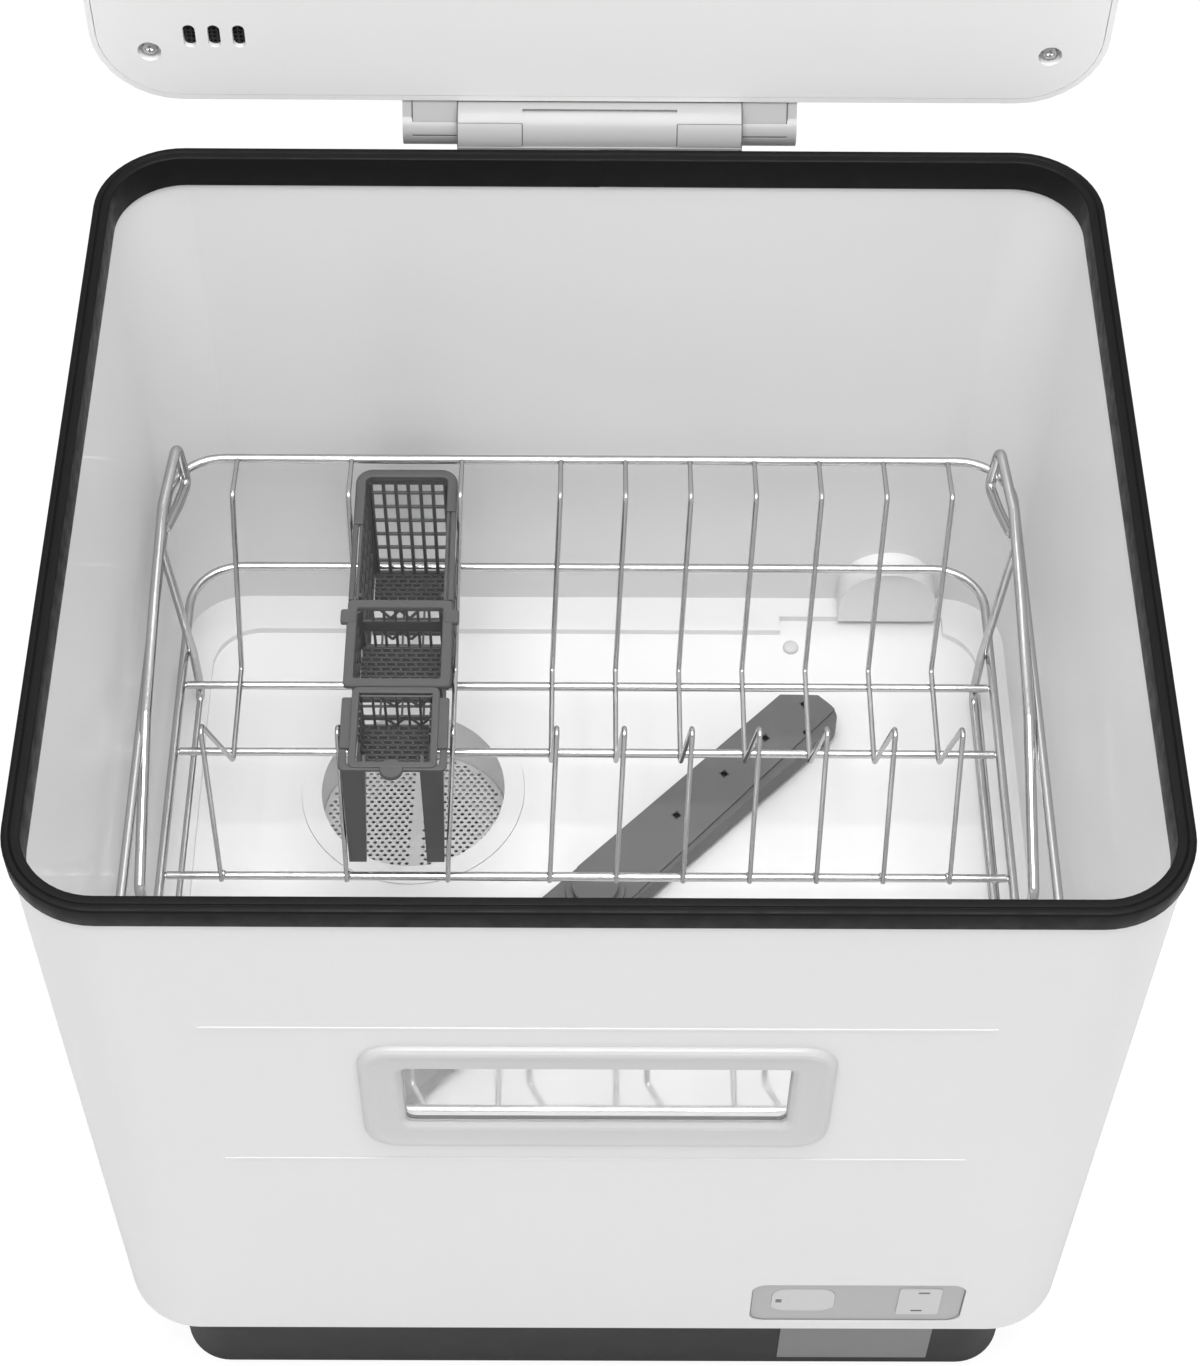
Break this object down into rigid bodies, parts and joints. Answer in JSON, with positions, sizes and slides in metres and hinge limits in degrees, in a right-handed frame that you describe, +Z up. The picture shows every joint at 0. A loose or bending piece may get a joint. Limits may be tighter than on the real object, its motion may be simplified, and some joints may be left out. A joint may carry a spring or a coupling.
{
  "type": "countertop dishwasher",
  "caption": "Small white countertop dishwasher that loads from the top, lid open, with a lift-out wire dish rack, cutlery basket, spray arm and filter inside.",
  "frame": {"origin": "on the floor, under the middle of the bounding box of the machine with its lid standing open", "axes": "+X to the right of someone facing the control plate, +Y to the back where the hinge is, +Z up"},
  "size_m": [0.43, 0.437, 0.84],
  "materials": {
    "white_shell": "glossy moulded white plastic",
    "white_tub": "smooth white plastic, slightly less shiny than the shell",
    "dark_seal": "matt dark grey rubber",
    "dark_base": "matt dark grey plastic with a fine grain",
    "foot_rubber": "matt black rubber",
    "steel_wire": "bright polished steel wire",
    "mesh_steel": "perforated steel sheet",
    "grey_basket": "satin mid grey plastic",
    "grey_arm": "satin mid grey plastic",
    "hinge_grey": "satin light grey plastic",
    "clear_pane": "clear pane",
    "panel_grey": "satin grey plate",
    "lens_grey": "smooth smoky lens",
    "key_grey": "smooth light grey key",
    "plate_grey": "thin bare grey plate",
    "zinc_steel": "zinc plated steel",
    "hose_black": "ribbed dark hose rubber",
    "pump_plastic": "glass filled grey plastic",
    "motor_metal": "painted motor can",
    "pipe_plastic": "natural white pipe plastic",
    "board_green": "green circuit board"
  },
  "bodies": {
    "cabinet": {"outer_shell": "white_shell", "wash_tub": "white_tub", "rim_seal": "dark_seal", "base_pan": "dark_base", "rubber_feet": "foot_rubber", "base_screws": "zinc_steel", "window_bezel": "white_shell", "window_pane": "clear_pane", "window_gasket": "dark_seal", "window_retainer": "white_tub", "control_plate": "panel_grey", "display_lens": "lens_grey", "control_board": "board_green", "blank_plate": "plate_grey", "hinge_block": "hinge_grey", "hinge_covers": "hinge_grey", "hinge_pin": "zinc_steel", "hinge_screws": "zinc_steel", "spray_post": "grey_arm", "post_nut": "grey_arm", "inlet_housing": "white_tub", "heat_probe": "pump_plastic", "sump_cup": "pump_plastic", "wash_pump_housing": "pump_plastic", "wash_pump_motor": "motor_metal", "feed_pipe": "pipe_plastic", "heater": "motor_metal", "drain_pump_housing": "pump_plastic", "drain_pump_motor": "motor_metal", "drain_hose": "hose_black", "drain_spigot": "hose_black", "inlet_spigot": "hose_black", "inlet_valve": "pipe_plastic", "fill_pipe": "pipe_plastic", "power_board": "board_green", "cord_gland": "hose_black"},
    "lid": {"lid_cover": "white_shell", "lid_liner": "white_tub", "lid_screws": "zinc_steel", "lid_arms": "hinge_grey", "arm_inlays": "hinge_grey", "vent_screen": "dark_base"},
    "spray_arm": {"spray_arm_top": "grey_arm", "spray_arm_base": "grey_arm", "spray_arm_cap": "grey_arm"},
    "dish_rack": {"rack_top_loop": "steel_wire", "rack_bottom_loop": "steel_wire", "rack_cross_wires": "steel_wire", "rack_plate_tines": "steel_wire", "rack_bowl_tines": "steel_wire", "rack_runners": "steel_wire", "rack_feet": "steel_wire", "rack_handles": "steel_wire"},
    "cutlery_basket": {"cutlery_cup": "grey_basket", "cutlery_tray_middle": "grey_basket", "cutlery_tray_front": "grey_basket"},
    "filter": {"filter_ring": "white_tub", "filter_mesh": "mesh_steel"},
    "start_key": {"start_key": "key_grey"},
    "wash_impeller": {"wash_impeller": "pipe_plastic"}
  },
  "joints": [
    {"name": "lid_hinge", "type": "hinge", "parent": "cabinet", "child": "lid", "pos_m": [0, 0.18315, 0.44], "axis": [-1, 0, 0], "range_deg": [-90, 0]},
    {"name": "rack_lift", "type": "slide", "parent": "cabinet", "child": "dish_rack", "axis": [0, 0, 1], "range_m": [0, 0.3]},
    {"name": "cutlery_lift", "type": "slide", "parent": "dish_rack", "child": "cutlery_basket", "axis": [0, 0, 1], "range_m": [0, 0.1]},
    {"name": "filter_lift", "type": "slide", "parent": "cabinet", "child": "filter", "axis": [0, 0, 1], "range_m": [0, 0.035]},
    {"name": "spray_arm_spin", "type": "hinge", "parent": "cabinet", "child": "spray_arm", "pos_m": [0, -0.02385, 0.1375], "axis": [0, 0, 1], "continuous": true},
    {"name": "start_key_press", "type": "slide", "parent": "cabinet", "child": "start_key", "axis": [0, 1, 0], "range_m": [0, 0.0012], "stiffness_N_per_m": 800, "springref_m": -0.0004},
    {"name": "wash_impeller_spin", "type": "hinge", "parent": "cabinet", "child": "wash_impeller", "pos_m": [0.008, 0.04515, 0.056], "axis": [1, 0, 0], "continuous": true}
  ]
}
